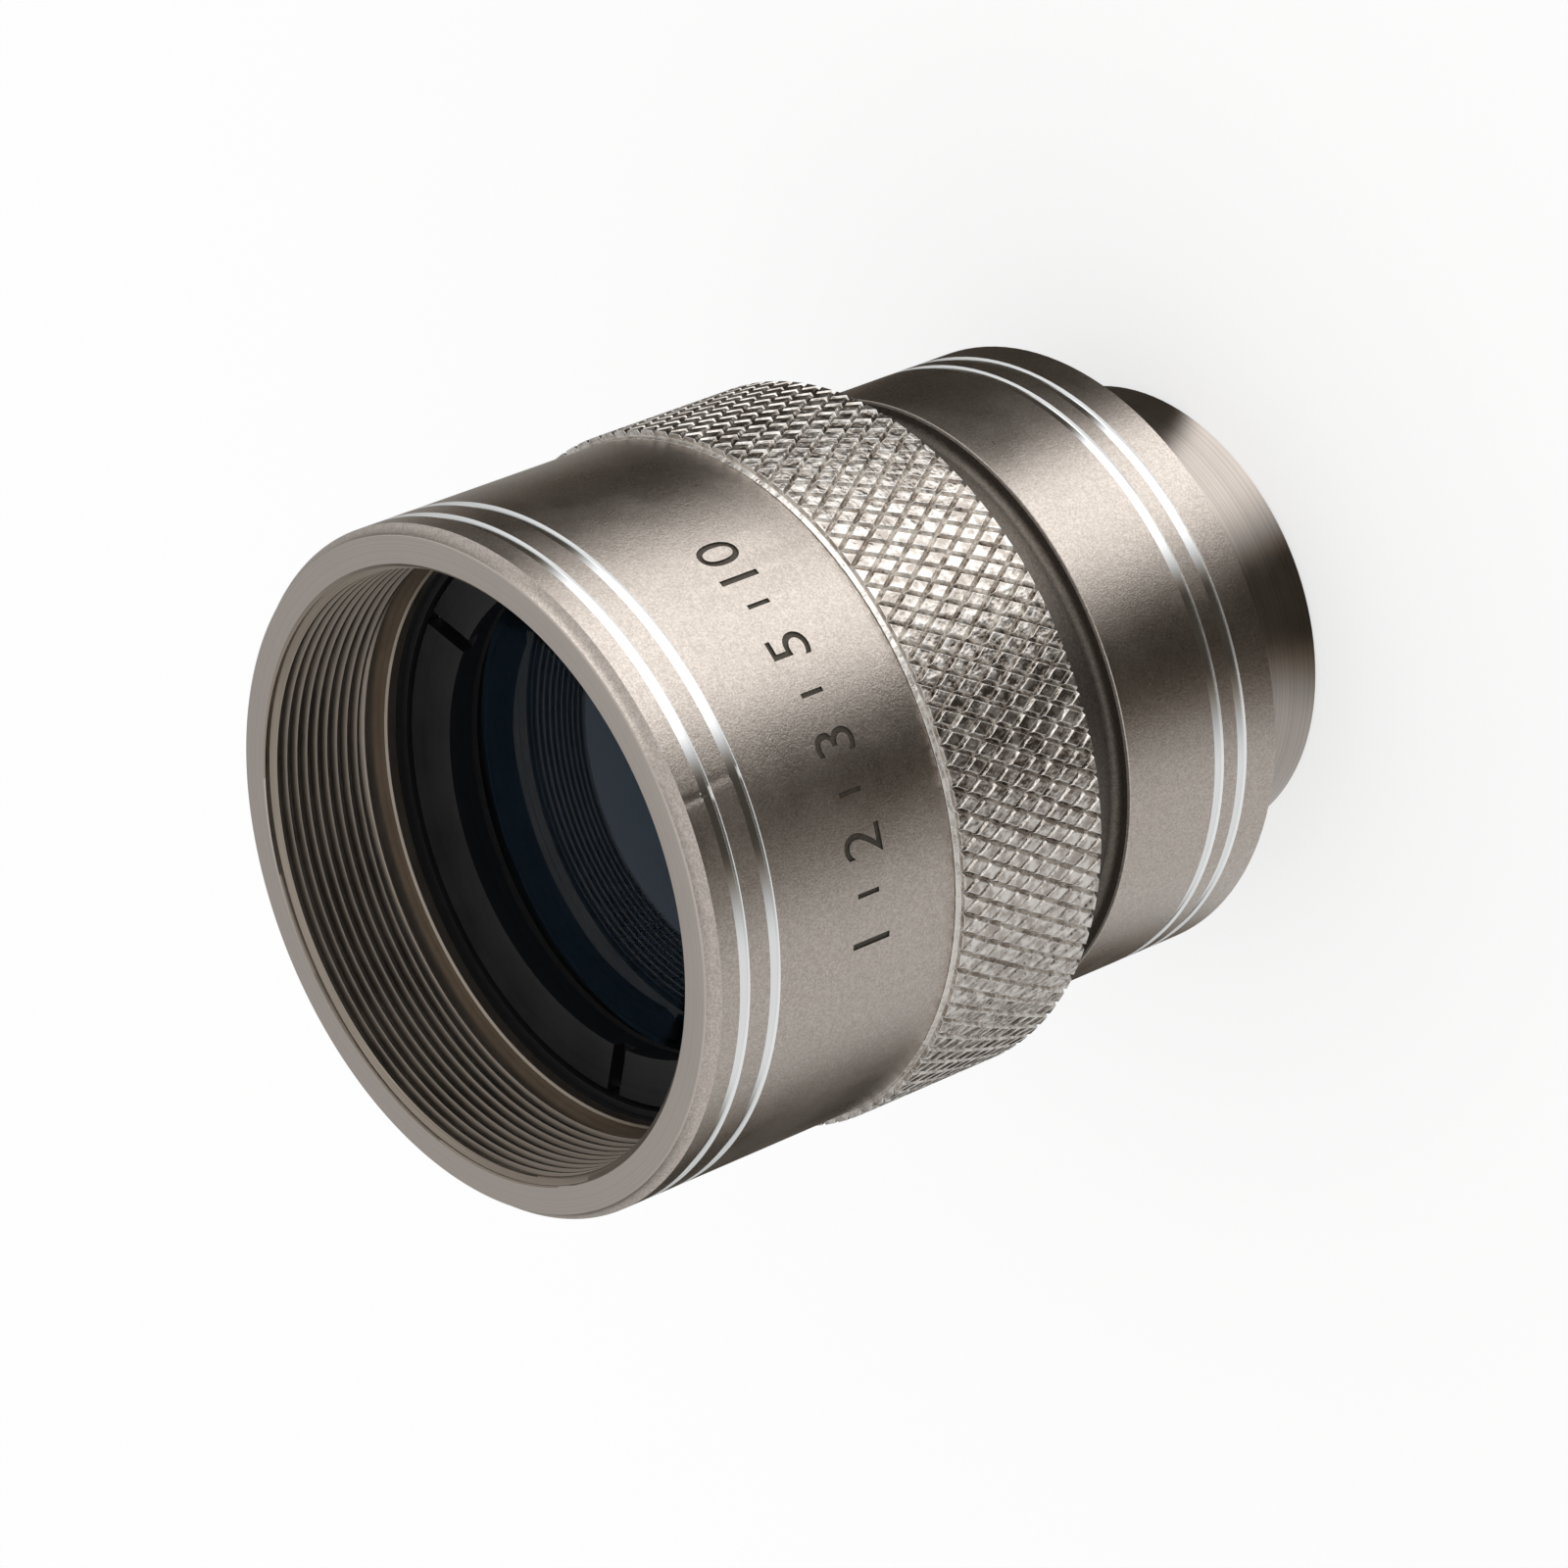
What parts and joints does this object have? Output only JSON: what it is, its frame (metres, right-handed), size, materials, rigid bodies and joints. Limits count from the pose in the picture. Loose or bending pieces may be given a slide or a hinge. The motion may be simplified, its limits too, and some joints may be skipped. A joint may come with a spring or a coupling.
{
  "type": "telephoto conversion lens",
  "caption": "Screw-on telephoto conversion lens with a diamond-knurled focusing grip, coarse-thread focusing, front filter thread and plain rear spigot.",
  "frame": {"origin": "centre of the rear spigot's end face", "axes": "+Z along the lens axis towards the front glass"},
  "size_m": [0.0424, 0.0424, 0.0545],
  "materials": {
    "satin_metal": "bead-blasted satin, warm grey",
    "brushed_metal": "fine turned satin",
    "black_metal": "satin black",
    "coated_glass": "polished, blue coated",
    "white_plastic": "smooth bearing plastic",
    "black_rubber": "smooth",
    "felt": "dense felt",
    "brass": "turned",
    "steel": "bright screw steel"
  },
  "bodies": {
    "rear_housing": {"rear_barrel": "satin_metal", "mount_spigot": "brushed_metal", "spigot_shim": "brass", "guide_keys": "brass", "guide_screws": "steel", "rear_stop_ring": "black_metal", "rear_concave_element": "coated_glass", "rear_meniscus_element": "coated_glass", "rear_retaining_ring": "black_metal"},
    "cell_group": {"lens_cell": "black_metal", "front_retaining_ring": "black_metal", "front_seal_ring": "black_rubber", "front_crown_element": "coated_glass", "front_flint_element": "coated_glass", "inner_convex_element": "coated_glass", "inner_retaining_ring": "black_metal", "glare_baffle": "black_metal"},
    "focus_group": {"front_barrel": "satin_metal", "grip_ring": "satin_metal", "skirt_felt_ring": "felt", "thrust_ring": "black_metal", "front_thrust_washer": "white_plastic", "rear_thrust_washer": "white_plastic"}
  },
  "joints": [
    {"name": "cell_slide", "type": "slide", "parent": "rear_housing", "child": "cell_group", "axis": [0, 0, -1], "range_m": [0, 0.004]},
    {"name": "focus_turn", "type": "hinge", "parent": "cell_group", "child": "focus_group", "pos_m": [0, 0, 0.03], "axis": [0, 0, -1], "range_deg": [0, 120]}
  ],
  "couplings": [
    {"joint": "focus_turn", "follows": "cell_slide", "rad_per_m": 523.6}
  ]
}
